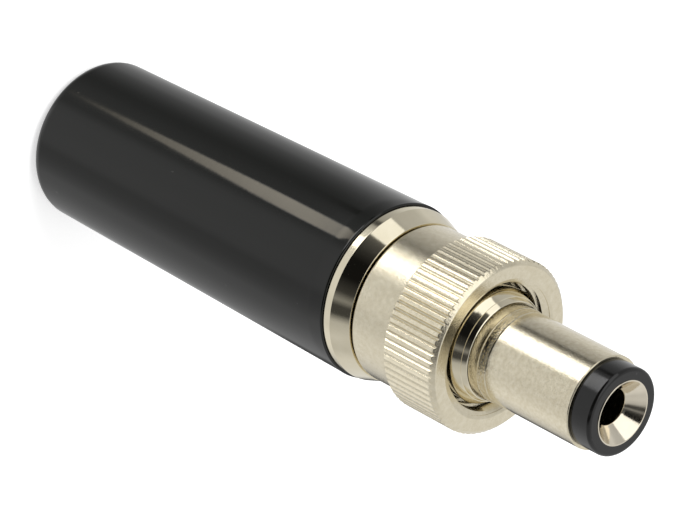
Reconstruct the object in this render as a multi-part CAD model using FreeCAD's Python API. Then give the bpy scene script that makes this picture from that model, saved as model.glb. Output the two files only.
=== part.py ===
import FreeCAD, Part
import math
import os

# A locking DC barrel plug for a solder-on cable, standing upright on the cable end of its cover.
# +Z runs along the axis towards the tip. The origin is the centre of the cover's rear face.
# All sizes are in millimetres. Sizes that end in _d are diameters.

# Cover: a moulded black tube with a little draft, screwed on to the body
cover_length = 26.0
cover_front_d = 10.56
cover_rear_d = 9.86
cover_rear_round = 0.9
cover_front_chamfer = 0.1
cover_floor = 1.8
cover_cavity_d = 7.8
cover_threaded_length = 6.2
cover_lead_in = 0.3
cable_hole_d = 5.8
cable_hole_chamfer = 0.3

# Screwed joint between cover and body, drawn at its pitch diameter
spigot_d = 8.1
spigot_length = 5.4
spigot_lead = 0.35
spigot_relief_width = 0.6
spigot_relief_depth = 0.35
cover_thread_clearance = 0.05
cover_seat_gap = 0.03

# Flange of the body: a narrow band and a long shallow bevel
flange_band_d = 10.3
flange_band = 0.52
flange_face_d = 9.5
flange_bevel_length = 1.15

# Neck and collar of the body: the collar keeps the nut on
neck_d = 6.1
neck_length = 5.3
collar_d = 6.8
collar_length = 1.3
collar_bevel_line_d = 6.54
collar_outer_bevel = 0.2
collar_seat_d = 5.76
collar_inner_bevel = 0.6

# Barrel: the outer contact, pressed into the body
barrel_d = 5.5
barrel_length = 7.43
barrel_wall = 0.38
barrel_foot_d = 5.74
barrel_foot_sweep = 1.15
barrel_end_chamfer = 0.12
barrel_tail_d = 5.4
barrel_tail_length = 4.5

# Tip: a black bush with a flared tube, the inner contact, in its middle
tip_head_d = 5.14
tip_head_length = 1.42
tip_head_round = 0.18
tip_stem_length = 6.5
flare_d = 3.82
flare_proud = 0.05
flare_rim_width = 0.07
flare_depth = 0.8
flare_throat_d = 2.3
flare_back_length = 0.65
contact_bore_d = 2.1
contact_bore_depth = 11.0
contact_wall = 0.4
contact_tail_d = 1.8
drill_point_angle = 118.0

# Rear of the contacts: bush, two solder lugs and the washer between them
bush_d = 4.4
bush_flange = 1.0
rivet_rim_wall = 0.4
rivet_rim_d = 5.9
rivet_rim_roll = 0.25
lug_sheet = 0.5
ground_ring_d = 7.2
washer_d = 6.0
washer_thickness = 0.5
centre_ring_d = 3.8
rivet_head_d = 2.7
rivet_head_height = 0.45
rivet_head_bevel = 0.5
centre_tongue_width = 2.4
centre_tongue_length = 5.0
centre_tongue_gap = 0.25
centre_tongue_round = 1.08
centre_eye_d = 1.0
ground_tongue_angle = 50.0
ground_tongue_upper = 3.6
ground_tongue_step = 0.6
ground_tongue_slant = 1.4
ground_tongue_length = 12.0
ground_eye_d = 1.2
bend_radius = 0.25
clamp_length = 3.6
clamp_wing = 1.8
clamp_wing_corner = 0.6

# Coupling nut: smooth at the rear, straight knurl at the front, fine inner thread
nut_gap = 0.15
nut_length = 6.85
nut_smooth_d = 9.36
nut_smooth_length = 2.95
nut_rear_chamfer = 0.15
nut_collar_clearance = 0.1
nut_face_bevel = 0.25
nut_face_bevel_length = 0.3
nut_thread_minor_d = 7.2
nut_thread_length = 4.8
nut_mouth_d = 8.4
nut_mouth_chamfer = 0.5
knurl_d = 10.3
knurl_depth = 0.1
knurl_teeth = 72

# Split ring in the nut's bore: it slides on the neck and catches behind the collar
ring_thickness = 0.45
ring_outer_d = 7.7
ring_neck_clearance = 0.06
ring_side_clearance = 0.05
ring_groove_d = 8.2
ring_lip = 0.75
ring_gap_angle = 16.0

# Heights of the main shoulders, from the standing face upwards
flange_rear_z = cover_length + cover_seat_gap
flange_front_z = flange_rear_z + flange_band + flange_bevel_length
collar_rear_z = flange_front_z + neck_length
collar_edge_z = collar_rear_z + collar_length
barrel_foot_z = collar_edge_z + collar_outer_bevel + collar_inner_bevel
barrel_end_z = barrel_foot_z + barrel_length
tip_face_z = barrel_end_z + tip_head_length
tip_end_z = tip_face_z + flare_proud
spigot_end_z = flange_rear_z - spigot_length
nut_rear_z = flange_front_z + nut_gap
nut_front_z = nut_rear_z + nut_length
bush_seat_z = barrel_foot_z - barrel_tail_length - bush_flange
ground_lug_z = spigot_end_z - lug_sheet
rivet_rim_z = ground_lug_z - rivet_rim_roll
washer_z = rivet_rim_z - washer_thickness
centre_lug_z = washer_z - lug_sheet

# Radii that several pieces share
barrel_bore_r = barrel_d / 2 - barrel_wall
contact_r = contact_bore_d / 2 + contact_wall
contact_tail_r = contact_tail_d / 2
bush_r = bush_d / 2
rivet_neck_r = bush_r + rivet_rim_wall

origin = FreeCAD.Vector(0, 0, 0)
up = FreeCAD.Vector(0, 0, 1)
tiny = 1e-6


def section_point(r, z):
    return FreeCAD.Vector(r, 0, z)


def section_face(*steps):
    """A closed outline in the XZ plane. A step is (r, z), or (mid r, mid z, r, z) for an arc."""
    edges = []
    start = section_point(*steps[0])
    here = start
    for step in steps[1:]:
        there = section_point(*step[-2:])
        if len(step) == 4:
            edges.append(Part.Arc(here, section_point(*step[:2]), there).toShape())
        else:
            edges.append(Part.makeLine(here, there))
        here = there
    edges.append(Part.makeLine(here, start))
    return Part.Face(Part.Wire(edges))


def turned(*steps):
    return section_face(*steps).revolve(origin, up, 360)


def flats(middle_r, middle_z, radius, start, end, count):
    """Points along a small round, which is drawn as flats. Angles run from outwards to the tip."""
    points = []
    for step in range(count + 1):
        angle = math.radians(start + (end - start) * step / count)
        points.append((middle_r + radius * math.cos(angle), middle_z + radius * math.sin(angle)))
    return points


def handle_cover():
    front_r = cover_front_d / 2
    rear_r = cover_rear_d / 2
    hole_r = cable_hole_d / 2
    cavity_r = cover_cavity_d / 2
    thread_r = spigot_d / 2 + cover_thread_clearance
    thread_start = cover_length - cover_threaded_length
    draft = (front_r - rear_r) / cover_length
    rear_round = flats(rear_r - cover_rear_round, cover_rear_round, cover_rear_round, -90, 0, 3)
    return turned(
        (hole_r + cable_hole_chamfer, 0),
        *rear_round,
        (front_r - draft * cover_front_chamfer, cover_length - cover_front_chamfer),
        (front_r - cover_front_chamfer, cover_length),
        (thread_r + cover_lead_in, cover_length),
        (thread_r, cover_length - cover_lead_in),
        (thread_r, thread_start),
        (cavity_r, thread_start),
        (cavity_r, cover_floor),
        (hole_r, cover_floor),
        (hole_r, cable_hole_chamfer),
    )


def plug_body():
    spigot_r = spigot_d / 2
    relief_r = spigot_r - spigot_relief_depth
    relief_z = flange_rear_z - spigot_relief_width
    band_r = flange_band_d / 2
    neck_r = neck_d / 2
    collar_r = collar_d / 2
    tail_r = barrel_tail_d / 2
    roll_r = rivet_rim_d / 2
    return turned(
        (bush_r, rivet_rim_z),
        (roll_r, rivet_rim_z),
        (roll_r, ground_lug_z),
        (rivet_neck_r, ground_lug_z),
        (rivet_neck_r, spigot_end_z),
        (spigot_r - spigot_lead, spigot_end_z),
        (spigot_r, spigot_end_z + spigot_lead),
        (spigot_r, relief_z - spigot_relief_depth),
        (relief_r, relief_z),
        (relief_r, flange_rear_z),
        (band_r, flange_rear_z),
        (band_r, flange_rear_z + flange_band),
        (flange_face_d / 2, flange_front_z),
        (neck_r, flange_front_z),
        (neck_r, collar_rear_z),
        (collar_r, collar_rear_z),
        (collar_r, collar_edge_z),
        (collar_bevel_line_d / 2, collar_edge_z + collar_outer_bevel),
        (collar_seat_d / 2, barrel_foot_z),
        (tail_r, barrel_foot_z),
        (tail_r, bush_seat_z),
        (bush_r, bush_seat_z),
    )


def barrel_sleeve():
    outer_r = barrel_d / 2
    foot_r = barrel_foot_d / 2
    tail_r = barrel_tail_d / 2
    sweep_z = barrel_foot_z + barrel_foot_sweep
    # the foot sweeps into the barrel on an arc that runs out along it
    flare = foot_r - outer_r
    sweep_r = (barrel_foot_sweep ** 2 + flare ** 2) / (2 * flare)
    half_turn = math.asin(barrel_foot_sweep / sweep_r) / 2
    mid_r = outer_r + sweep_r * (1 - math.cos(half_turn))
    mid_z = sweep_z - sweep_r * math.sin(half_turn)
    return turned(
        (barrel_bore_r, barrel_foot_z - barrel_tail_length),
        (tail_r, barrel_foot_z - barrel_tail_length),
        (tail_r, barrel_foot_z),
        (foot_r, barrel_foot_z),
        (mid_r, mid_z, outer_r, sweep_z),
        (outer_r, barrel_end_z - barrel_end_chamfer),
        (outer_r - barrel_end_chamfer, barrel_end_z),
        (barrel_bore_r, barrel_end_z),
    )


def tip_insulator():
    head_r = tip_head_d / 2
    flare_r = flare_d / 2
    round_r = head_r - tip_head_round
    round_z = tip_face_z - tip_head_round
    head_round = flats(round_r, round_z, tip_head_round, 0, 90, 2)
    return turned(
        (contact_r, barrel_end_z - tip_stem_length),
        (barrel_bore_r, barrel_end_z - tip_stem_length),
        (barrel_bore_r, barrel_end_z),
        (head_r, barrel_end_z),
        *head_round,
        (flare_r, tip_face_z),
        (contact_r, tip_face_z - flare_back_length),
    )


def centre_contact():
    flare_r = flare_d / 2
    bore_r = contact_bore_d / 2
    throat_r = flare_throat_d / 2
    throat_z = tip_end_z - flare_depth
    bore_end_z = tip_end_z - contact_bore_depth
    point_depth = bore_r / math.tan(math.radians(drill_point_angle / 2))
    throat_chamfer = throat_r - bore_r
    head_r = rivet_head_d / 2
    head_z = centre_lug_z - rivet_head_height
    return turned(
        (0, bore_end_z - point_depth),
        (bore_r, bore_end_z),
        (bore_r, throat_z - throat_chamfer),
        (throat_r, throat_z),
        (flare_r - flare_rim_width, tip_end_z),
        (flare_r, tip_end_z),
        (flare_r, tip_face_z),
        (contact_r, tip_face_z - flare_back_length),
        (contact_r, rivet_rim_z),
        (contact_tail_r, rivet_rim_z),
        (contact_tail_r, centre_lug_z),
        (head_r, centre_lug_z),
        (head_r - rivet_head_bevel, head_z),
        (0, head_z),
    )


def rear_bush():
    tail_r = barrel_tail_d / 2
    return turned(
        (contact_r, rivet_rim_z),
        (bush_r, rivet_rim_z),
        (bush_r, bush_seat_z),
        (tail_r, bush_seat_z),
        (tail_r, bush_seat_z + bush_flange),
        (contact_r, bush_seat_z + bush_flange),
    )


def insulating_washer():
    return turned(
        (contact_tail_r, washer_z),
        (washer_d / 2, washer_z),
        (washer_d / 2, rivet_rim_z),
        (contact_tail_r, rivet_rim_z),
    )


def bent_path(points, radius):
    """An open path in the XZ plane through the points, with a round of this radius at each bend."""
    corners = [section_point(*p) for p in points]
    edges = []
    here = corners[0]
    for before, corner, after in zip(corners, corners[1:], corners[2:]):
        back = (before - corner).normalize()
        ahead = (after - corner).normalize()
        half = back.getAngle(ahead) / 2
        reach = radius / math.tan(half)
        middle = corner + (back + ahead).normalize() * (radius / math.sin(half) - radius)
        edges.append(Part.makeLine(here, corner + back * reach))
        here = corner + ahead * reach
        edges.append(Part.Arc(corner + back * reach, middle, here).toShape())
    edges.append(Part.makeLine(here, corners[-1]))
    return Part.Wire(edges)


def bent_sheet(points):
    """The section of a sheet that lies outside the path through the points."""
    return bent_path(points, bend_radius).makeOffset2D(lug_sheet, 0, True, True, False)


def along(edge, direction):
    return abs(edge.tangentAt(edge.FirstParameter).dot(direction)) > 1 - tiny


def centre_lug():
    top_z = washer_z
    inner_x = rivet_head_d / 2 + centre_tongue_gap
    end_z = centre_lug_z - centre_tongue_length
    half_width = centre_tongue_width / 2
    eye_z = end_z + half_width
    side = FreeCAD.Vector(1, 0, 0)
    across = FreeCAD.Vector(0, centre_tongue_width, 0)
    tongue = bent_sheet([(0, centre_lug_z), (inner_x, centre_lug_z), (inner_x, end_z)])
    tongue = tongue.extrude(across)
    tongue.translate(across * -0.5)
    corners = [
        edge for edge in tongue.Edges
        if along(edge, side) and abs(edge.CenterOfMass.z - end_z) < tiny
    ]
    tongue = tongue.makeFillet(centre_tongue_round, corners)
    ring = Part.makeCylinder(centre_ring_d / 2, top_z - centre_lug_z, up * centre_lug_z)
    lug = ring.fuse(tongue)
    lug = lug.cut(Part.makeCylinder(contact_tail_r, top_z, origin))
    lug = lug.cut(Part.makeCylinder(centre_eye_d / 2, centre_ring_d, up * eye_z, side))
    return lug.removeSplitter()


def ground_lug():
    ring_r = ground_ring_d / 2
    upper_r = ring_r - lug_sheet
    lower_r = upper_r - ground_tongue_step
    slant_z = ground_lug_z - ground_tongue_upper
    clamp_top_z = spigot_end_z - ground_tongue_length
    clamp_z = clamp_top_z - clamp_length
    side = FreeCAD.Vector(0, 1, 0)
    ring = turned(
        (rivet_neck_r, ground_lug_z),
        (ring_r, ground_lug_z),
        (ring_r, spigot_end_z),
        (rivet_neck_r, spigot_end_z),
    )
    tongue = bent_sheet([
        (upper_r, spigot_end_z),
        (upper_r, slant_z),
        (lower_r, slant_z - ground_tongue_slant),
        (lower_r, clamp_top_z),
    ])
    tongue.rotate(origin, up, 180 - ground_tongue_angle / 2)
    tongue = tongue.revolve(origin, up, ground_tongue_angle)
    eye_z = (slant_z - ground_tongue_slant + clamp_top_z) / 2
    eye = Part.makeCylinder(ground_eye_d / 2, ring_r, up * eye_z, FreeCAD.Vector(-1, 0, 0))
    return ring.fuse([tongue.cut(eye), cable_clamp(lower_r, clamp_z, side)]).removeSplitter()


def cable_clamp(inner_r, base_z, side):
    """The open clamp that is squeezed round the cable: half a tube with two straight wings."""
    outer_r = inner_r + lug_sheet

    def at(x, y):
        return FreeCAD.Vector(x, y, base_z)

    edges = [
        Part.makeLine(at(clamp_wing, outer_r), at(0, outer_r)),
        Part.Arc(at(0, outer_r), at(-outer_r, 0), at(0, -outer_r)).toShape(),
        Part.makeLine(at(0, -outer_r), at(clamp_wing, -outer_r)),
        Part.makeLine(at(clamp_wing, -outer_r), at(clamp_wing, -inner_r)),
        Part.makeLine(at(clamp_wing, -inner_r), at(0, -inner_r)),
        Part.Arc(at(0, -inner_r), at(-inner_r, 0), at(0, inner_r)).toShape(),
        Part.makeLine(at(0, inner_r), at(clamp_wing, inner_r)),
        Part.makeLine(at(clamp_wing, inner_r), at(clamp_wing, outer_r)),
    ]
    clamp = Part.Face(Part.Wire(edges)).extrude(up * clamp_length)
    corners = [
        edge for edge in clamp.Edges
        if along(edge, side) and abs(edge.CenterOfMass.x - clamp_wing) < tiny
    ]
    return clamp.makeChamfer(clamp_wing_corner, corners)


def knurled_head(base_z):
    """The front of the nut, without its bore: V-shaped teeth with bevelled ends."""
    crest_r = knurl_d / 2
    root_r = crest_r - knurl_depth
    face_r = crest_r - nut_face_bevel
    front_slope = nut_face_bevel_length / nut_face_bevel
    crest_front_z = nut_front_z - nut_face_bevel_length
    root_front_z = crest_front_z + front_slope * knurl_depth
    pitch = 2 * math.pi / knurl_teeth

    def at(r, step, z):
        return FreeCAD.Vector(r * math.cos(step * pitch), r * math.sin(step * pitch), z)

    def polygon(*corners):
        return Part.Face(Part.makePolygon(corners + corners[:1]))

    faces = [
        polygon(*[at(root_r, tooth + 0.5, base_z) for tooth in range(knurl_teeth)]),
        polygon(*[at(face_r, tooth + 0.5, nut_front_z) for tooth in range(knurl_teeth)]),
    ]
    for crest in range(knurl_teeth):
        before = crest - 0.5
        after = crest + 0.5
        crest_rear = at(crest_r, crest, base_z + knurl_depth)
        crest_front = at(crest_r, crest, crest_front_z)
        faces.append(polygon(at(root_r, before, base_z), at(root_r, after, base_z), crest_rear))
        for side in (before, after):
            root_rear = at(root_r, side, base_z)
            root_front = at(root_r, side, root_front_z)
            faces.append(polygon(root_rear, crest_rear, crest_front, root_front))
        root_before = at(root_r, before, root_front_z)
        root_after = at(root_r, after, root_front_z)
        faces.append(polygon(root_before, crest_front, root_after))
        face_before = at(face_r, before, nut_front_z)
        face_after = at(face_r, after, nut_front_z)
        faces.append(polygon(root_before, root_after, face_after, face_before))
    return Part.makeSolid(Part.makeShell(faces))


def coupling_nut():
    smooth_r = nut_smooth_d / 2
    bore_r = collar_d / 2 + nut_collar_clearance
    groove_r = ring_groove_d / 2
    groove_z = nut_rear_z + ring_lip
    groove_top_z = groove_z + ring_thickness + 2 * ring_side_clearance
    minor_r = nut_thread_minor_d / 2
    thread_z = nut_front_z - nut_mouth_chamfer - nut_thread_length
    knurl_z = nut_rear_z + nut_smooth_length
    smooth = turned(
        (0, nut_rear_z),
        (smooth_r - nut_rear_chamfer, nut_rear_z),
        (smooth_r, nut_rear_z + nut_rear_chamfer),
        (smooth_r, knurl_z),
        (0, knurl_z),
    )
    bore = turned(
        (0, nut_rear_z),
        (bore_r, nut_rear_z),
        (bore_r, groove_z),
        (groove_r, groove_z),
        (groove_r, groove_top_z),
        (bore_r, groove_top_z),
        (bore_r, thread_z),
        (minor_r, thread_z),
        (minor_r, nut_front_z - nut_mouth_chamfer),
        (nut_mouth_d / 2, nut_front_z),
        (0, nut_front_z),
    )
    return smooth.fuse(knurled_head(knurl_z)).cut(bore)


def retaining_ring():
    inner_r = neck_d / 2 + ring_neck_clearance
    outer_r = ring_outer_d / 2
    base_z = nut_rear_z + ring_lip + ring_side_clearance
    section = section_face(
        (inner_r, base_z),
        (outer_r, base_z),
        (outer_r, base_z + ring_thickness),
        (inner_r, base_z + ring_thickness),
    )
    section.rotate(origin, up, ring_gap_angle / 2)
    return section.revolve(origin, up, 360 - ring_gap_angle)


pieces = {
    "handle_cover": handle_cover,
    "plug_body": plug_body,
    "barrel_sleeve": barrel_sleeve,
    "tip_insulator": tip_insulator,
    "centre_contact": centre_contact,
    "rear_bush": rear_bush,
    "ground_lug": ground_lug,
    "insulating_washer": insulating_washer,
    "centre_lug": centre_lug,
    "coupling_nut": coupling_nut,
    "retaining_ring": retaining_ring,
}

os.makedirs("parts", exist_ok=True)
for name, make in pieces.items():
    shape = make()
    shape.exportStep("parts/" + name + ".step")
    print(name, len(shape.Solids), shape.isValid(), round(shape.Volume, 3), "mm3")
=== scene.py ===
import bpy
import bmesh
import math
from mathutils import Matrix, Vector


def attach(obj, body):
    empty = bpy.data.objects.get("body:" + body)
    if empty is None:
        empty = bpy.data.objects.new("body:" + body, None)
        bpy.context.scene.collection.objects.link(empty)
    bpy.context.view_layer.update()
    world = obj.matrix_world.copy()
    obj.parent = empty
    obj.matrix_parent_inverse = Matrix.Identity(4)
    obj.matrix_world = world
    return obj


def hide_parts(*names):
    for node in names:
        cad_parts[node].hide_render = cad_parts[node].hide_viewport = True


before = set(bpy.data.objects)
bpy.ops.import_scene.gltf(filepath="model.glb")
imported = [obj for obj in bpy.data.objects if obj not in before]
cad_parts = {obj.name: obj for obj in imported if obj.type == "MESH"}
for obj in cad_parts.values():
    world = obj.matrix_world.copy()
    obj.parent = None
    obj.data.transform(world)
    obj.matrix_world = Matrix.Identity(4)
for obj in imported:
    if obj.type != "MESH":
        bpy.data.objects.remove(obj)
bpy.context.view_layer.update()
scene = bpy.context.scene
scene.view_settings.view_transform = "Standard"
mm = 0.001
fullTurn = 2 * math.pi
mergeGap = 0.0004  # mm; points closer than this become one
holdGap = 0.02  # mm between a corner's cut and the point that holds its side
rounding = {"wideCut": 0.5, "wideSteps": 10, "steps": 4}  # a wide round gets more faces
noiseLow, noiseHigh = 0.3, 0.7  # most of a noise lies between these


# Shared ways of working

def deselectAll():
    if bpy.context.object and bpy.context.object.mode != "OBJECT":
        bpy.ops.object.mode_set(mode="OBJECT")
    bpy.ops.object.select_all(action="DESELECT")


def drawOutline(name, corners, closed=True):
    # One point is drawn out from corner to corner in the XZ plane, (r, z) in mm
    deselectAll()
    bpy.ops.mesh.primitive_plane_add(size=mm)
    piece = bpy.context.object
    piece.name = name
    piece.data.name = name
    bpy.ops.object.mode_set(mode="EDIT")
    bpy.ops.mesh.merge(type="CENTER")
    bpy.ops.transform.translate(value=(corners[0][0] * mm, 0, corners[0][1] * mm))
    for (r0, z0), (r1, z1) in zip(corners, corners[1:]):
        stride = ((r1 - r0) * mm, 0, (z1 - z0) * mm)
        bpy.ops.mesh.extrude_region_move(TRANSFORM_OT_translate={"value": stride})
    if closed:
        shape = bmesh.from_edit_mesh(piece.data)
        for v in shape.verts:
            v.select = len(v.link_edges) == 1
        shape.select_flush_mode()
        bmesh.update_edit_mesh(piece.data)
        bpy.ops.mesh.edge_face_add()
    return piece


def roundCorner(piece, r, z, cut):
    # Bevels one corner of the outline; the cut is measured along its two sides
    shape = bmesh.from_edit_mesh(piece.data)
    place = Vector((r * mm, 0, z * mm))
    corner = min(shape.verts, key=lambda v: (v.co - place).length)
    for v in shape.verts:
        v.select = v == corner
    shape.select_flush_mode()
    bmesh.update_edit_mesh(piece.data)
    steps = rounding["wideSteps"] if cut > rounding["wideCut"] else rounding["steps"]
    bpy.ops.mesh.bevel(offset=cut * mm, segments=steps, affect="VERTICES")


def smoothAll(degrees):
    # Edges sharper than this angle stay crisp
    bpy.ops.object.mode_set(mode="OBJECT")
    bpy.ops.object.shade_smooth_by_angle(angle=math.radians(degrees))


def holdSides(outline):
    # Points beside each rounded corner keep the shading of its straight sides even
    longSide = 3  # a side is held where it is this many times longer than the cut
    held = []
    for index, corner in enumerate(outline):
        for side in (outline[index - 1], corner, outline[(index + 1) % len(outline)]):
            reach = math.dist(side[:2], corner[:2])
            if side is corner:
                held.append(corner[:2])
            elif len(corner) == 3 and reach > longSide * (corner[2] + holdGap):
                share = (corner[2] + holdGap) / reach
                held.append(tuple(c + (s - c) * share for s, c in zip(side[:2], corner[:2])))
    return held


def turnOnLathe(name, outline, steps, closed=True):
    # An outline of (r, z) or (r, z, corner cut) in mm is spun round the axis
    piece = drawOutline(name, holdSides(outline), closed)
    for corner in outline:
        if len(corner) == 3:
            roundCorner(piece, *corner)
    bpy.ops.mesh.select_all(action="SELECT")
    bpy.ops.mesh.spin(steps=steps, angle=fullTurn, center=(0, 0, 0), axis=(0, 0, 1))
    bpy.ops.mesh.select_all(action="SELECT")
    bpy.ops.mesh.remove_doubles(threshold=mergeGap * mm)
    bpy.ops.mesh.normals_make_consistent(inside=False)
    return piece


def addThread(piece, thread):
    # A closed V-shaped ridge goes up a helix, fades out at its ends and joins the piece
    base, crest, pitch = thread["base"], thread["crest"], thread["pitch"]
    low, high = thread["from"], thread["to"]
    root, top = thread["rootFlat"] * pitch, thread["crestFlat"] * pitch
    ridge = drawOutline(piece.name + "Thread", [
        (base, low + root / 2),
        (crest, low + (pitch - top) / 2),
        (crest, low + (pitch + top) / 2),
        (base, low + pitch - root / 2),
    ])
    bpy.ops.object.mode_set(mode="OBJECT")
    screw = ridge.modifiers.new("helix", "SCREW")
    screw.axis = "Z"
    screw.angle = fullTurn
    screw.screw_offset = pitch * mm
    screw.iterations = int((high - low) / pitch) - 1
    screw.steps = screw.render_steps = thread["steps"]
    bpy.ops.object.modifier_apply(modifier=screw.name)
    fade, cone = thread["fade"], thread.get("cone")
    nearBase = 0.01  # mm; points this close to the base radius stay on it
    for v in ridge.data.vertices:
        r = math.hypot(v.co.x, v.co.y)
        z = v.co.z / mm
        height = min(1, max(0, (z - low) / fade), max(0, (high - z) / fade))
        wanted = (base + (crest - base) * height) * mm
        if abs(r - base * mm) > nearBase * mm:
            if cone:  # the mouth's bevel cuts the ridge down
                wanted = max(wanted, (cone["r"] + (z - cone["z"]) * cone["slope"]) * mm)
                wanted = min(wanted, base * mm)
            v.co.x *= wanted / r
            v.co.y *= wanted / r
        v.co.z = min(z, thread.get("top", z)) * mm  # nothing stands past the mouth
    bpy.ops.object.mode_set(mode="EDIT")
    bpy.ops.mesh.select_all(action="SELECT")
    bpy.ops.mesh.fill_holes(sides=4)  # the two ends of the ridge
    bpy.ops.mesh.select_all(action="SELECT")
    bpy.ops.mesh.remove_doubles(threshold=mergeGap * mm)
    bpy.ops.mesh.normals_make_consistent(inside=False)
    bpy.ops.object.mode_set(mode="OBJECT")
    deselectAll()
    ridge.select_set(True)
    piece.select_set(True)
    bpy.context.view_layer.objects.active = piece
    bpy.ops.object.join()


def newMaterial(name):
    material = bpy.data.materials.new(name)
    material.use_nodes = True
    tree = material.node_tree
    place = tree.nodes.new("ShaderNodeTexCoord").outputs["Object"]
    return material, tree, tree.nodes["Principled BSDF"], place


def calculate(tree, operation, first, second=None, third=None):
    node = tree.nodes.new("ShaderNodeMath")
    node.operation = operation
    for socket, value in zip(node.inputs, (first, second, third)):
        if isinstance(value, bpy.types.NodeSocket):
            tree.links.new(value, socket)
        elif value is not None:
            socket.default_value = value
    return node.outputs[0]


def partsOf(tree, place):
    split = tree.nodes.new("ShaderNodeSeparateXYZ")
    tree.links.new(place, split.inputs[0])
    return split.outputs


def mixOf(tree, kind, factor, first, second, blend="MIX"):
    sockets = {"RGBA": (6, 7, 2), "FLOAT": (2, 3, 0)}  # the two inputs and the result
    one, two, result = sockets[kind]
    node = tree.nodes.new("ShaderNodeMix")
    node.data_type = kind
    node.blend_type = blend
    tree.links.new(factor, node.inputs[0])
    tree.links.new(first, node.inputs[one])
    tree.links.new(second, node.inputs[two])
    return node.outputs[result]


def noiseOn(tree, place, scale, detail):
    # Soft mottling whose grain is about 1 / scale metres
    noise = tree.nodes.new("ShaderNodeTexNoise")
    noise.inputs["Scale"].default_value = scale
    noise.inputs["Detail"].default_value = detail
    tree.links.new(place, noise.inputs["Vector"])
    return noise.outputs[0]


def radiusOf(tree, place):
    # The distance from the plug's axis
    x, y = partsOf(tree, place)[:2]
    squares = calculate(tree, "MULTIPLY_ADD", y, y, calculate(tree, "MULTIPLY", x, x))
    return calculate(tree, "SQRT", squares)


def toolMarks(tree, place, scale, detail):
    # The fine rings that a lathe tool leaves, along the sides and across the faces
    way = calculate(tree, "ADD", radiusOf(tree, place), partsOf(tree, place)[2])
    noise = tree.nodes.new("ShaderNodeTexNoise")
    noise.noise_dimensions = "1D"
    noise.inputs["Scale"].default_value = scale
    noise.inputs["Detail"].default_value = detail
    tree.links.new(way, noise.inputs["W"])
    return noise.outputs[0]


def between(tree, factor, low, high, start=noiseLow, stop=noiseHigh):
    # Goes from low to high while the factor goes from start to stop
    spread = tree.nodes.new("ShaderNodeMapRange")
    spread.inputs["From Min"].default_value = start
    spread.inputs["From Max"].default_value = stop
    spread.inputs["To Min"].default_value = low
    spread.inputs["To Max"].default_value = high
    tree.links.new(factor, spread.inputs["Value"])
    return spread.outputs[0]


def mixColours(tree, factor, first, second):
    ramp = tree.nodes.new("ShaderNodeValToRGB")
    for point, position, colour in zip(
            ramp.color_ramp.elements, (noiseLow, noiseHigh), (first, second)):
        point.position = position
        point.color = (*colour, 1)
    tree.links.new(factor, ramp.inputs[0])
    return ramp.outputs[0]


def addBumps(tree, shader, layers):
    # Each layer is (height, depth in mm); they are laid one on the other
    below = None
    for height, depth in layers:
        bump = tree.nodes.new("ShaderNodeBump")
        bump.inputs["Distance"].default_value = depth * mm
        tree.links.new(height, bump.inputs["Height"])
        if below:
            tree.links.new(below, bump.inputs["Normal"])
        below = bump.outputs[0]
    tree.links.new(below, shader.inputs["Normal"])


# Finishes

def bandAlong(tree, place, band):
    # 1 between two heights in mm and 0 outside them, with soft ends
    soft = 0.05  # mm
    low, high = band
    z = partsOf(tree, place)[2]
    rise = between(tree, z, 0, 1, (low - soft) * mm, (low + soft) * mm)
    fall = between(tree, z, 1, 0, (high - soft) * mm, (high + soft) * mm)
    return calculate(tree, "MULTIPLY", rise, fall)


def nickelPlate(name, finish):
    material, tree, shader, place = newMaterial(name)
    shader.inputs["Metallic"].default_value = 1.0
    tone = noiseOn(tree, place, finish["toneScale"], detail=4.0)
    colours = mixColours(tree, tone, finish["colour"], finish["shade"])
    if "grooves" in finish:  # painted shade darkens the knurl's colour down in its grooves, and a painted highlight lightens it on its crests
        low, root, crest = (edge * mm for edge in finish["grooveR"])
        radius = radiusOf(tree, place)
        band = bandAlong(tree, place, finish["grooves"])
        paintedKnurlMask = calculate(tree, "MULTIPLY", between(tree, radius, 0, 1, low, root), band)
        # painted shade and highlight: the colour runs from darker at the groove roots to lighter
        # at the crests
        depth = between(tree, radius, *finish["paintedKnurlShadeAndHighlight"], root, crest)
        colours = mixOf(tree, "RGBA", paintedKnurlMask, colours, depth, blend="MULTIPLY")
    tree.links.new(colours, shader.inputs["Base Color"])
    grain = noiseOn(tree, place, finish["grainScale"], detail=3.0)
    marks = toolMarks(tree, place, finish["markScale"], detail=3.0)
    rough = between(tree, grain, *finish["roughness"])
    layers = [(marks, finish["markDepth"]), (grain, finish["grainDepth"])]
    if "coarseBand" in finish:  # a part of the length that the tool left rougher
        band = bandAlong(tree, place, finish["coarseBand"])
        coarse = noiseOn(tree, place, finish["coarseScale"], detail=2.0)
        layers.append((calculate(tree, "MULTIPLY", coarse, band), finish["coarseDepth"]))
        rough = calculate(tree, "MULTIPLY_ADD", band, finish["coarseRough"], rough)
    tree.links.new(rough, shader.inputs["Roughness"])
    addBumps(tree, shader, layers)
    return material


def mouldedPlastic(name, finish):
    # A moulded skin whose gloss varies in soft clouds, with a few pale specks
    material, tree, shader, place = newMaterial(name)
    shader.inputs["IOR"].default_value = finish["ior"]
    cloud = noiseOn(tree, place, finish["cloudScale"], detail=4.0)
    dust = noiseOn(tree, place, finish["dustScale"], detail=1.0)
    dustEdge = 0.04  # how softly a speck ends
    specks = between(tree, dust, 0, 1, finish["dustFrom"], finish["dustFrom"] + dustEdge)
    colours = mixColours(tree, specks, finish["colour"], finish["dustColour"])
    tree.links.new(colours, shader.inputs["Base Color"])
    tree.links.new(between(tree, cloud, *finish["roughness"]), shader.inputs["Roughness"])
    skin = noiseOn(tree, place, finish["skinScale"], detail=2.0)
    addBumps(tree, shader, [(skin, finish["skinDepth"]), (specks, finish["dustDepth"])])
    return material


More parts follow.
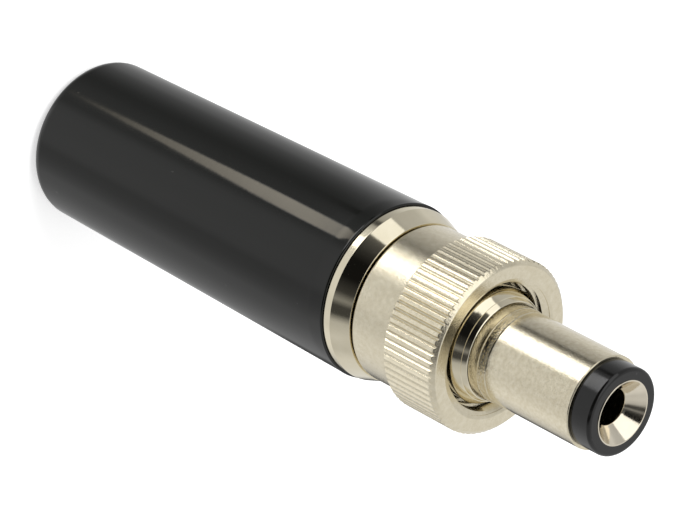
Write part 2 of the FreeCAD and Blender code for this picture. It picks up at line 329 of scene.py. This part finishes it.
nickel = {
    "colour": (0.80, 0.737, 0.575), "shade": (0.75, 0.685, 0.52), "toneScale": 900,
    "grainScale": 16000, "markScale": 9000,
}
coverBlack = mouldedPlastic("coverBlack", {
    "colour": (0.0022, 0.0026, 0.0016), "dustColour": (0.03, 0.03, 0.028), "ior": 1.44,
    "cloudScale": 300, "roughness": (0.05, 0.08), "skinScale": 2500, "skinDepth": 0.0005,
    "dustScale": 1900, "dustFrom": 0.79, "dustDepth": 0.002,
})
tipBlack = mouldedPlastic("tipBlack", {
    "colour": (0.0040, 0.0040, 0.0038), "dustColour": (0.018, 0.018, 0.018), "ior": 1.47,
    "cloudScale": 900, "roughness": (0.10, 0.17), "skinScale": 9000, "skinDepth": 0.0015,
    "dustScale": 2600, "dustFrom": 0.74, "dustDepth": 0.003,
})
fibreBrown = mouldedPlastic("fibreBrown", {
    "colour": (0.30, 0.17, 0.085), "dustColour": (0.42, 0.28, 0.16), "ior": 1.45,
    "cloudScale": 1500, "roughness": (0.55, 0.75), "skinScale": 7000, "skinDepth": 0.012,
    "dustScale": 3000, "dustFrom": 0.55, "dustDepth": 0.006,
})
bodyNickel = nickelPlate("bodyNickel", {
    **nickel, "roughness": (0.05, 0.10), "grainDepth": 0.0008, "markDepth": 0.0005,
})
barrelNickel = nickelPlate("barrelNickel", {
    **nickel, "toneScale": 4500, "shade": (0.69, 0.62, 0.46),
    "roughness": (0.04, 0.10), "grainDepth": 0.0055, "markDepth": 0.0004,
    "coarseBand": (35.74, 36.3), "coarseScale": 7000, "coarseDepth": 0.03, "coarseRough": 0.02,
})
nutNickel = nickelPlate("nutNickel", {
    **nickel, "toneScale": 3500, "shade": (0.72, 0.652, 0.49),
    "roughness": (0.11, 0.24), "grainDepth": 0.0075, "markDepth": 0.0010,
    # the knurl's tone range is painted shade in its grooves and a painted highlight on its crests
    "grooves": (30.85, 34.35), "grooveR": (5.04, 5.05, 5.13), "paintedKnurlShadeAndHighlight": (0.88, 1.22),
})
contactNickel = nickelPlate("contactNickel", {
    **nickel, "colour": (0.83, 0.77, 0.64), "shade": (0.76, 0.69, 0.56),
    "roughness": (0.07, 0.15), "grainDepth": 0.0007, "markDepth": 0.0012,
})
lugTin = nickelPlate("lugTin", {
    **nickel, "colour": (0.72, 0.70, 0.66), "shade": (0.60, 0.58, 0.53),
    "roughness": (0.28, 0.42), "grainDepth": 0.003, "markDepth": 0.0,
})
ringSteel = nickelPlate("ringSteel", {
    **nickel, "colour": (0.55, 0.55, 0.56), "shade": (0.44, 0.44, 0.45),
    "roughness": (0.22, 0.35), "grainDepth": 0.002, "markDepth": 0.001,
})
print("finishes ready")


# Pieces

def settle(piece, finish, slot, body, *nodes):
    # Gives a finished piece its material and its place on the moving bodies
    piece.data.materials.clear()
    piece.data.materials.append(finish)
    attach(piece, body)
    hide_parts(*nodes)
    print(piece.name, len(piece.data.polygons), "faces")


def makeCover():
    cover = {
        "rearR": 4.93, "bodyR": 5.245, "lipR": 5.278, "length": 26.0, "rearRound": 0.9,
        "lipStart": 24.6, "lipEnd": 25.98, "lipSteps": 8, "frontCut": 0.09,
        "leadInR": (4.42, 4.32), "leadInDepth": 0.3, "edgeCut": 0.05,
        "boreR": 3.9, "threadEnd": 19.8, "floor": 1.8, "floorRound": 0.2,
        "holeR": 2.9, "holeBevel": 0.3, "steps": 256, "smooth": 35,
        "thread": {"base": 4.36, "crest": 4.11, "pitch": 0.75, "from": 20.0, "to": 25.9,
                   "rootFlat": 0.14, "crestFlat": 0.14, "steps": 96, "fade": 0.5},
    }
    length, lipStart = cover["length"], cover["lipStart"]
    mouthR, threadR = cover["leadInR"]
    lip = []
    for step in range(cover["lipSteps"]):  # the moulding flares a hair towards its open end
        along = step / cover["lipSteps"]
        r = cover["bodyR"] + (cover["lipR"] - cover["bodyR"]) * along ** 2
        lip.append((r, lipStart + (cover["lipEnd"] - lipStart) * along))
    tube = turnOnLathe("coverTube", [
        (cover["holeR"] + cover["holeBevel"], 0, cover["edgeCut"]),
        (cover["rearR"], 0, cover["rearRound"]),
        *lip,
        (cover["lipR"], length, cover["frontCut"]),
        (mouthR, length, cover["edgeCut"]),
        (threadR, length - cover["leadInDepth"]),
        (threadR, cover["threadEnd"]),
        (cover["boreR"], cover["threadEnd"]),
        (cover["boreR"], cover["floor"], cover["floorRound"]),
        (cover["holeR"], cover["floor"]),
        (cover["holeR"], cover["holeBevel"]),
    ], cover["steps"])
    addThread(tube, cover["thread"])
    smoothAll(cover["smooth"])
    settle(tube, coverBlack, "cover_plastic", "cover", "handle_cover")


def makeBody():
    body = {
        "outline": [
            (2.2, 19.88), (2.95, 19.88, 0.08), (2.95, 20.13), (2.6, 20.13), (2.6, 20.63),
            (3.5, 20.63), (3.85, 20.98), (3.85, 25.2), (3.7, 25.43), (3.7, 26.03),
            (5.15, 26.03, 0.03), (5.15, 26.55, 0.025), (4.75, 27.70, 0.03), (3.05, 27.70),
            (3.05, 33.0), (3.4, 33.0, 0.03), (3.4, 34.3, 0.03), (3.27, 34.5, 0.02),
            (3.095, 34.78), (3.065, 34.785), (2.93, 35.06, 0.03), (2.885, 35.09),
            (2.87, 35.06), (2.7, 35.06), (2.7, 29.6), (2.2, 29.6),
        ],
        "thread": {"base": 3.82, "crest": 4.04, "pitch": 0.75, "from": 20.7, "to": 25.3,
                   "rootFlat": 0.14, "crestFlat": 0.14, "steps": 96, "fade": 0.5},
        "steps": 256, "smooth": 30,
    }
    turned = turnOnLathe("plugBody", body["outline"], body["steps"])
    addThread(turned, body["thread"])
    smoothAll(body["smooth"])
    settle(turned, bodyNickel, "body_plating", "plug", "plug_body")


def makeBarrel():
    barrel = {
        "r": 2.75, "boreR": 2.37, "tailR": 2.7, "tailZ": 30.6, "footZ": 35.08, "endZ": 42.53,
        "tailCut": 0.05, "endCut": 0.06, "sweepEnd": 36.25, "sweepSteps": 6,
        "foot": [(2.855, 35.08, 0.02), (2.80, 35.74), (2.782, 35.75)],
        "steps": 256, "smooth": 12,
    }
    r, sweepEnd = barrel["r"], barrel["sweepEnd"]
    edgeR, edgeZ = barrel["foot"][-1]
    sweep = []
    for step in range(1, barrel["sweepSteps"] + 1):  # the foot runs out along the barrel
        along = step / barrel["sweepSteps"]
        sweep.append((r + (edgeR - r) * (1 - along) ** 2, edgeZ + (sweepEnd - edgeZ) * along))
    sleeve = turnOnLathe("barrelSleeve", [
        (barrel["boreR"], barrel["tailZ"]),
        (barrel["tailR"], barrel["tailZ"], barrel["tailCut"]),
        (barrel["tailR"], barrel["footZ"]),
        *barrel["foot"],
        *sweep,
        (r, barrel["endZ"], barrel["endCut"]),
        (barrel["boreR"], barrel["endZ"]),
    ], barrel["steps"])
    smoothAll(barrel["smooth"])
    settle(sleeve, barrelNickel, "barrel_plating", "plug", "barrel_sleeve")


def makeTipBush():
    bush = {
        "outline": [
            (1.45, 36.03), (2.37, 36.03), (2.37, 42.53), (2.57, 42.53, 0.05),
            (2.57, 43.95, 0.19), (1.91, 43.95), (1.45, 43.30),
        ],
        "steps": 256, "smooth": 35,
    }
    moulded = turnOnLathe("tipBush", bush["outline"], bush["steps"])
    smoothAll(bush["smooth"])
    settle(moulded, tipBlack, "insulator_plastic", "plug", "tip_insulator")


def makeContact():
    contact = {
        "outline": [
            (0, 32.37), (1.05, 33.0), (1.05, 43.1, 0.03), (1.15, 43.2, 0.03),
            (1.845, 44.0, 0.025), (1.91, 44.0, 0.03), (1.91, 43.95), (1.45, 43.30),
            (1.45, 19.88), (0.9, 19.88), (0.9, 18.88), (1.35, 18.88, 0.05),
            (0.85, 18.43, 0.15), (0, 18.43),
        ],
        "steps": 192, "smooth": 35,
    }
    tube = turnOnLathe("centreContact", contact["outline"], contact["steps"], closed=False)
    smoothAll(contact["smooth"])
    settle(tube, contactNickel, "contact_plating", "plug", "centre_contact")


def pressKnurl(nut, knurl):
    # Every column of points between two crests is drawn in towards the axis
    rootGap, rearGap, leastMove, endBand = 0.001, 0.01, 0.0005, 0.02  # mm
    root, crest = knurl["rootR"], knurl["crestR"]
    columns = len(knurl["profile"])
    groups = {}
    for v in bmesh.from_edit_mesh(nut.data).verts:
        r, z = math.hypot(v.co.x, v.co.y) / mm, v.co.z / mm
        if r < root + rootGap or z < knurl["rear"] - rearGap:
            continue
        column = round(math.atan2(v.co.y, v.co.x) / fullTurn * knurl["teeth"] * columns) % columns
        wanted = root + (crest - root) * knurl["profile"][column]
        if r > wanted + leastMove:
            slide = 0  # at both ends the points slide down the bevels
            if z > knurl["front"] - endBand:
                slide = (r - wanted) * knurl["frontSlope"]
            elif z < knurl["rear"] + crest - root + endBand:
                slide = wanted - r
            key = (round(r, 4), round(wanted, 4), round(slide, 4))
            groups.setdefault(key, set()).add(v.index)
    for (r, wanted, slide), members in groups.items():
        for v in bmesh.from_edit_mesh(nut.data).verts:
            v.select = v.index in members
        bmesh.update_edit_mesh(nut.data)
        bpy.ops.transform.resize(value=(wanted / r, wanted / r, 1), center_override=(0, 0, 0))
        if slide:
            bpy.ops.transform.translate(value=(0, 0, slide * mm))


def makeNut():
    nut = {
        "outline": [
            (3.5, 27.78, 0.04), (4.68, 27.78, 0.16), (4.68, 30.80), (5.05, 30.80),
            (5.15, 30.90, 0.02), (5.15, 34.46, 0.02), (4.90, 34.70, 0.04), (4.16, 34.70, 0.03),
            (3.99, 34.60), (3.99, 29.4), (3.5, 29.4), (3.5, 29.15), (4.1, 29.15),
            (4.1, 28.6), (3.5, 28.6),
        ],
        "knurl": {"teeth": 72, "crestR": 5.15, "rootR": 5.05, "rear": 30.80, "front": 34.46,
                  "frontSlope": 0.96,
                  "profile": (1, 1, 0.97, 0.9, 0.48, 0.1, 0.06, 0.1, 0.48, 0.9, 0.97, 1)},
        "thread": {"base": 4.02, "crest": 3.66, "pitch": 0.794, "from": 29.85, "to": 35.6,
                   "rootFlat": 0.10, "crestFlat": 0.46, "steps": 144, "fade": 0.35,
                   "cone": {"r": 3.66, "z": 34.36, "slope": 1.65}, "top": 34.58},
        "smooth": 34,
    }
    knurl = nut["knurl"]
    ring = turnOnLathe("couplingNut", nut["outline"], knurl["teeth"] * len(knurl["profile"]))
    pressKnurl(ring, knurl)
    addThread(ring, nut["thread"])
    smoothAll(nut["smooth"])
    settle(ring, nutNickel, "nut_plating", "nut", "coupling_nut")


makeCover()
makeBody()
makeBarrel()
makeTipBush()
makeContact()
makeNut()

innerFinishes = {
    "rear_bush": tipBlack, "insulating_washer": fibreBrown, "ground_lug": lugTin,
    "centre_lug": lugTin, "retaining_ring": ringSteel,
}
for nodeName, finish in innerFinishes.items():
    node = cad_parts[nodeName]
    for materialSlot in node.material_slots:
        materialSlot.material = finish
print("pieces ready")


# Studio

def makeFloor():
    floor = {"size": 8.0, "drop": 0.02, "colour": (0.8, 0.8, 0.8), "roughness": 0.9, "glow": 0.51}
    deselectAll()
    bpy.ops.mesh.primitive_plane_add(size=floor["size"], location=(0, 0, -floor["drop"] * mm))
    sheet = bpy.context.object
    sheet.name = "studioFloor"
    material = bpy.data.materials.new("floorWhite")
    material.use_nodes = True
    tree = material.node_tree
    shader = tree.nodes["Principled BSDF"]
    shader.inputs["Base Color"].default_value = (*floor["colour"], 1)
    shader.inputs["Roughness"].default_value = floor["roughness"]
    shader.inputs["Specular IOR Level"].default_value = 0.0
    glow = tree.nodes.new("ShaderNodeEmission")  # lifts it to white for the camera alone
    seen = tree.nodes.new("ShaderNodeLightPath").outputs["Is Camera Ray"]
    tree.links.new(calculate(tree, "MULTIPLY", seen, floor["glow"]), glow.inputs["Strength"])
    both = tree.nodes.new("ShaderNodeAddShader")
    tree.links.new(shader.outputs[0], both.inputs[0])
    tree.links.new(glow.outputs[0], both.inputs[1])
    tree.links.new(both.outputs[0], tree.nodes["Material Output"].inputs["Surface"])
    sheet.data.materials.append(material)
    sheet.visible_glossy = False


def rampOf(tree, factor, stops, low, high):
    # A brightness that changes with an angle in degrees, between low and high
    ramp = tree.nodes.new("ShaderNodeValToRGB")
    points = ramp.color_ramp.elements
    for index, (angle, level) in enumerate(stops):
        position = (angle - low) / (high - low)
        point = points[index] if index < 2 else points.new(position)
        point.position = position
        point.color = (level, level, level, 1)
    tree.links.new(factor, ramp.inputs[0])
    return ramp.outputs[0]


def makeSurroundings():
    # A pale tent with a dark gap on the camera's side, and one long lamp beside the gap.
    # Only reflections see it: the camera sees plain white, and other light is even.
    tent = {
        "plain": 0.8, "backdrop": 1.0, "overhead": 0.85, "overheadFrom": (50, 66),
        "deepWalls": [(-180, 0.50), (-145, 0.52), (-118, 0.66), (-98, 0.74), (-84, 0.84),
                      (-71, 0.71), (-59, 0.62), (-47, 0.62), (-37, 0.81), (-25, 0.87), (5, 0.86),
                      (15, 0.79), (26, 0.50), (50, 0.46), (60, 0.38), (67, 0.31), (77, 0.25),
                      (87, 0.27), (102, 0.37), (112, 0.43), (121, 0.54), (180, 0.62)],
        "lowWalls": [(-180, 0.12), (-156, 0.14), (-146, 0.50), (-127, 0.74), (-108, 0.89),
                     (-92, 0.89), (-79, 0.80), (-44, 0.78), (-24, 0.81), (6, 0.80), (57, 0.74),
                     (63, 0.50), (66, 0.46), (69.5, 0.07), (75, 0.07), (79, 0.38), (83, 0.41),
                     (98, 0.48), (113, 0.64), (130, 0.76), (149, 0.82), (180, 0.86)],
        "highWalls": [(-180, 0.82), (-140, 0.80), (-112, 0.76), (-98, 0.62), (-80, 0.66),
                      (-62, 0.52), (-52, 0.06), (-42, 0.06), (-35, 0.26), (-26, 0.05),
                      (-8, 0.008), (14, 0.008), (26, 0.03), (40, 0.08), (62, 0.24), (85, 0.50),
                      (110, 0.55), (122, 0.70), (152, 0.68), (172, 0.80), (180, 0.81)],
        "lowFrom": (-41.2, -40.2), "highFrom": (-34, -29),
        "lampCentre": [(-45, 40.5), (-44, 40), (-42, 38), (-39.5, 37.5), (-36.5, 35.5),
                       (-28, 45), (-12, 63), (20, 62), (46, 50), (70, 45)],
        "lampWidth": [(-45.7, 0), (-45.2, 3.8), (-44.5, 5.5), (-42.6, 9.8), (-42, 11.2),
                      (-39.5, 8), (-36.5, 22), (-33, 20), (-30, 0), (-16, 0), (-12, 18),
                      (13, 14), (39, 33), (46, 44), (66, 50)],
        "lampLevel": [(-45.2, 1.3), (-44.5, 2.4), (-42.6, 4.3), (-42, 5.2), (-41.5, 5.2),
                      (-39.5, 1.35), (-37, 4.0), (-33, 3.2), (-28, 1.25), (-5, 1.15),
                      (15, 1.35), (60, 1.45)],
        "lampEdge": 2.5, "lampColour": (1, 0.92, 0.77), "warmBelow": (-41.5, -39.5),
    }
    world = bpy.data.worlds.new("tent")
    scene.world = world
    world.use_nodes = True
    tree = world.node_tree
    background = tree.nodes["Background"]
    white = (1, 1, 1)
    degree = math.pi / 180
    around, upDown = (-180, 180), (-90, 90)

    # The way that a reflection looks, as a bearing from the camera's side and a height
    x, y, z = partsOf(tree, tree.nodes.new("ShaderNodeTexCoord").outputs["Generated"])
    backX = calculate(tree, "MULTIPLY", x, -1)
    backY = calculate(tree, "MULTIPLY", y, -1)
    bearing = calculate(tree, "MULTIPLY", calculate(tree, "ARCTAN2", backX, backY), 1 / degree)
    height = calculate(tree, "MULTIPLY", calculate(tree, "ARCSINE", z), 1 / degree)
    turn = between(tree, bearing, 0, 1, *around)
    rise = between(tree, height, 0, 1, *upDown)

    # Three rings of wall, one above the other, and a roof
    walls = rampOf(tree, turn, tent["deepWalls"], *around)
    for ring in ("low", "high"):
        share = between(tree, height, 0, 1, *tent[ring + "From"])
        wall = rampOf(tree, turn, tent[ring + "Walls"], *around)
        walls = mixOf(tree, "FLOAT", share, walls, wall)
    roof = between(tree, height, 0, tent["overhead"], *tent["overheadFrom"])

    # The lamp's middle, half width and level at each height; a ramp holds a hundredth of them
    rampScale = 100
    lampRamps = []
    for part in ("lampCentre", "lampWidth", "lampLevel"):
        stops = [(angle, value / rampScale) for angle, value in tent[part]]
        ramp = rampOf(tree, rise, stops, *upDown)
        lampRamps.append(calculate(tree, "MULTIPLY", ramp, rampScale))
    centre, width, level = lampRamps
    offset = calculate(tree, "ABSOLUTE", calculate(tree, "SUBTRACT", bearing, centre))
    inside = calculate(tree, "SUBTRACT", width, offset)
    lampShare = between(tree, inside, 0, 1, 0, tent["lampEdge"])
    lamp = calculate(tree, "MULTIPLY", level, lampShare)
    gloss = calculate(tree, "MAXIMUM", walls, calculate(tree, "MAXIMUM", roof, lamp))

    # What each kind of ray finds
    rays = tree.nodes.new("ShaderNodeLightPath").outputs
    glossy, camera = rays["Is Glossy Ray"], rays["Is Camera Ray"]
    other = calculate(tree, "SUBTRACT", 1, calculate(tree, "MAXIMUM", glossy, camera))
    asGloss = calculate(tree, "MULTIPLY", gloss, glossy)
    asSeen = calculate(tree, "MULTIPLY", camera, tent["backdrop"])
    asPlain = calculate(tree, "MULTIPLY", other, tent["plain"])
    total = calculate(tree, "ADD", calculate(tree, "ADD", asGloss, asSeen), asPlain)
    tree.links.new(total, background.inputs["Strength"])
    warmth = calculate(tree, "MULTIPLY", between(tree, height, 1, 0, *tent["warmBelow"]), glossy)
    warmth = calculate(tree, "MULTIPLY", lampShare, warmth)
    colour = mixColours(tree, warmth, white, tent["lampColour"])
    tree.links.new(colour, background.inputs["Color"])
    world.cycles.sampling_method = "NONE"


def makeLamp():
    lamp = {"place": (-0.28, -0.16, 0.50), "size": 0.30, "power": 1.6}
    deselectAll()
    bpy.ops.object.light_add(type="AREA", location=lamp["place"])
    light = bpy.context.object
    light.name = "softLamp"
    light.data.shape = "DISK"
    light.data.size = lamp["size"]
    light.data.energy = lamp["power"]
    light.rotation_euler = (-Vector(lamp["place"])).to_track_quat("-Z", "Y").to_euler()
    light.visible_glossy = False


def makeCamera():
    view = {"place": (-0.000266, -0.174452, 0.168084), "elevation": 39.85, "roll": 117.58,
            "lens": 206.59, "sensor": 36.0, "nearest": 0.01}
    camera = bpy.data.objects.new("camera", bpy.data.cameras.new("camera"))
    scene.collection.objects.link(camera)
    camera.data.sensor_width = view["sensor"]
    camera.data.lens = view["lens"]
    camera.data.clip_start = view["nearest"]
    tilt = Matrix.Rotation(math.radians(90 - view["elevation"]), 4, "X")
    roll = Matrix.Rotation(math.radians(view["roll"]), 4, "Z")
    camera.matrix_world = Matrix.Translation(view["place"]) @ tilt @ roll
    scene.camera = camera


makeFloor()
makeSurroundings()
makeLamp()
makeCamera()
print("studio ready")
